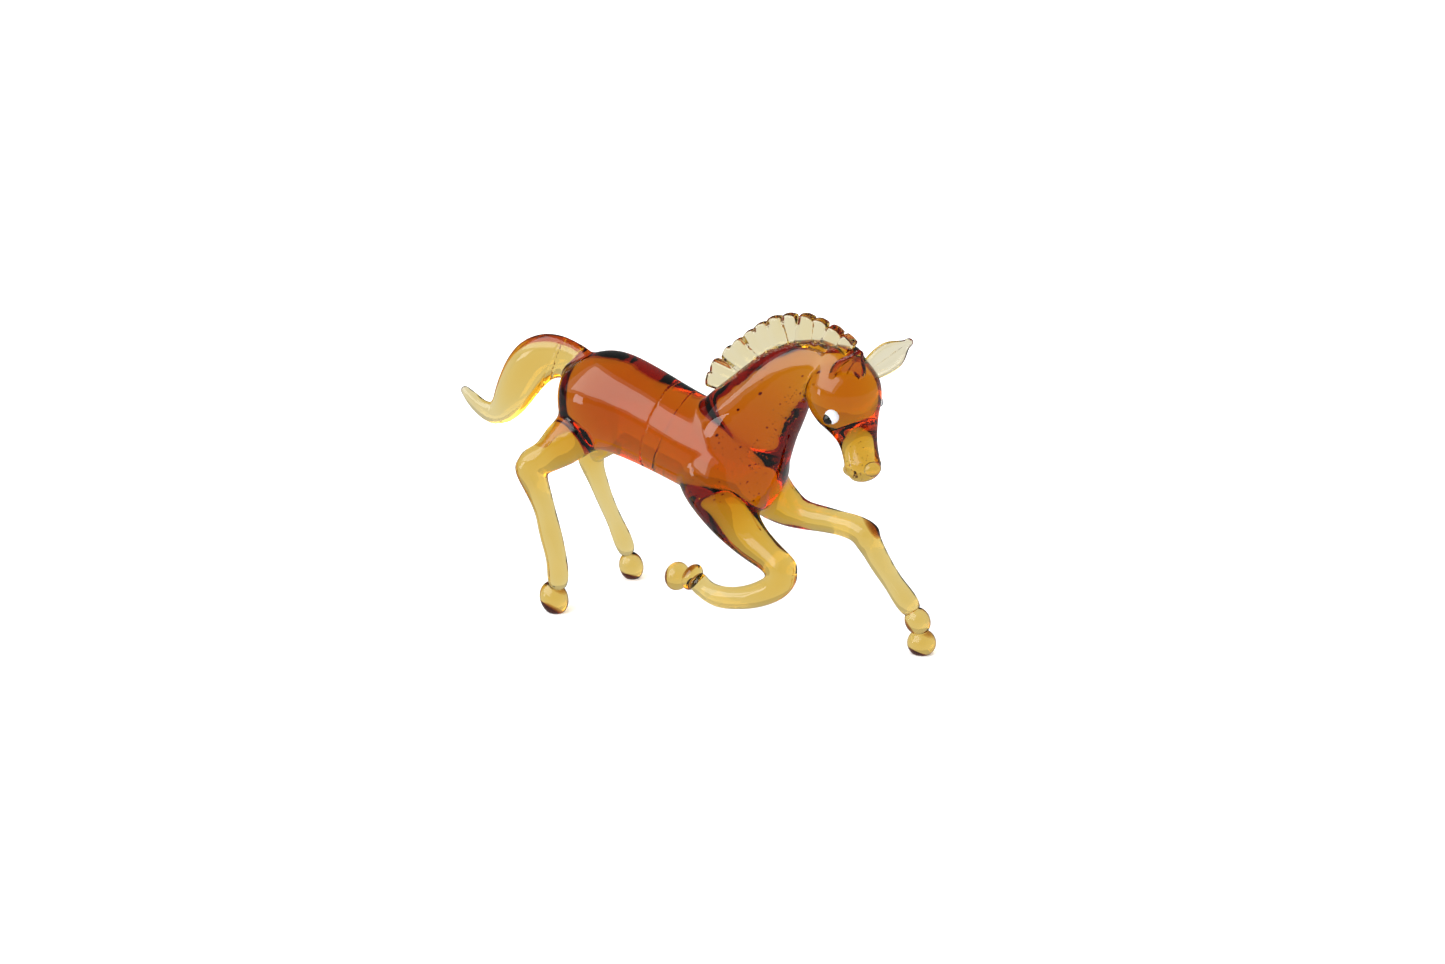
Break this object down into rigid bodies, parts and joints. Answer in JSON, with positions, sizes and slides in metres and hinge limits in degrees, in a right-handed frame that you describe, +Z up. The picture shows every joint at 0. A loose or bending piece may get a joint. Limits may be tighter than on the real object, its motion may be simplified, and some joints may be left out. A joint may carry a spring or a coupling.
{
  "type": "lampworked glass foal figurine",
  "caption": "Small flame-worked foal in transparent amber glass, in mid stride, standing on three hooves with a foreleg folded.",
  "frame": {"origin": "middle of the footprint box, at the height of the surface that the hooves stand on", "axes": "+X from tail to nose, +Y to the foal's left, +Z up"},
  "size_m": [0.1096, 0.029, 0.0701],
  "materials": {
    "amber_glass": "fire-polished transparent amber glass, straw yellow where thin and orange-brown where thick",
    "white_glass": "fire-polished opaque white glass",
    "black_glass": "fire-polished opaque black glass"
  },
  "bodies": {
    "root": {"hindquarters": "amber_glass", "barrel": "amber_glass", "forequarters": "amber_glass", "neck": "amber_glass", "skull": "amber_glass", "muzzle": "amber_glass", "nose_bead": "amber_glass", "chin_bead": "amber_glass", "right_ear": "amber_glass", "left_ear": "amber_glass", "mane_locks": "amber_glass", "tail_dock": "amber_glass", "tail_switch": "amber_glass", "right_hind_gaskin": "amber_glass", "right_hind_cannon": "amber_glass", "right_hind_hoof": "amber_glass", "left_hind_gaskin": "amber_glass", "left_hind_cannon": "amber_glass", "left_hind_hoof": "amber_glass", "right_fore_forearm": "amber_glass", "right_fore_shank": "amber_glass", "right_fore_fetlock": "amber_glass", "right_fore_hoof": "amber_glass", "left_fore_forearm": "amber_glass", "left_fore_cannon": "amber_glass", "left_fore_fetlock": "amber_glass", "left_fore_hoof": "amber_glass", "right_eye_white": "white_glass", "right_eye_pupil": "black_glass", "left_eye_white": "white_glass", "left_eye_pupil": "black_glass"}
  },
  "joints": []
}
